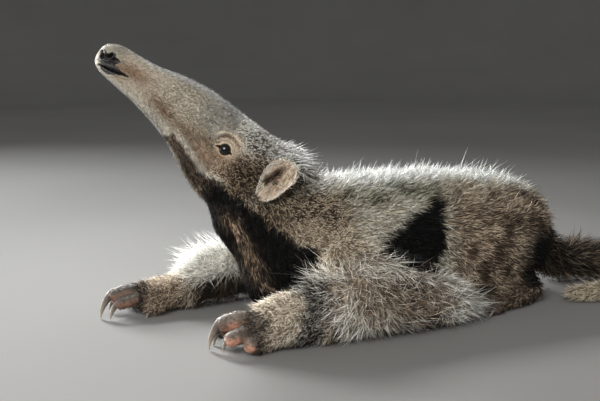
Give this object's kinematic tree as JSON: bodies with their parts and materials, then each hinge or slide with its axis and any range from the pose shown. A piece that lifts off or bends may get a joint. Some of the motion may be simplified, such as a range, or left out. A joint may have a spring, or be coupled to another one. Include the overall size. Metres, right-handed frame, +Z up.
{
  "type": "young giant anteater, still model",
  "caption": "Young giant anteater lying on its chest with its long snout raised, both forelegs forward and the tail curled round its left side, as a still life-size model.",
  "frame": {"origin": "on the floor under the middle of the belly", "axes": "-X towards the head, +X towards the tail, -Y the animal's left side, +Z up"},
  "size_m": [0.4884, 0.2026, 0.217],
  "materials": {
    "face": "very short pinkish tan hair on the snout, speckled brown and cream on the cheeks and crown",
    "coat": "bristly hair banded dark and pale, tan grey on the back, with a black wedge from the throat to the flank and a pale crest",
    "pale": "long pale cream bristly hair on the forelegs with a black band at the wrist",
    "skin": "bare pinkish grey skin of the digits and soles under short speckled hair",
    "horn": "grey to cream horn with fine lengthwise streaks",
    "eye": "wet, almost black brown"
  },
  "bodies": {
    "root": {"torso": "coat", "head": "face", "neck": "coat", "upper_arm_left": "pale", "upper_arm_right": "pale", "forearm_left": "pale", "forearm_right": "pale", "hind_leg_left": "coat", "hind_leg_right": "coat", "hand_left": "skin", "hand_right": "skin", "hind_foot_left": "skin", "hind_foot_right": "skin", "eye_left": "eye", "eye_right": "eye", "ear_left": "face", "claw_left_1": "horn", "claw_left_2": "horn", "claw_left_3": "horn", "claw_left_4": "horn", "hind_claw_left_1": "horn", "hind_claw_left_2": "horn", "hind_claw_left_3": "horn", "hind_claw_left_4": "horn", "hind_claw_left_5": "horn", "ear_right": "face", "claw_right_1": "horn", "claw_right_2": "horn", "claw_right_3": "horn", "claw_right_4": "horn", "hind_claw_right_1": "horn", "hind_claw_right_2": "horn", "hind_claw_right_3": "horn", "hind_claw_right_4": "horn", "hind_claw_right_5": "horn", "tail_base": "coat", "tail_bend": "coat", "tail_side": "coat", "tail_tip": "coat"}
  },
  "joints": []
}
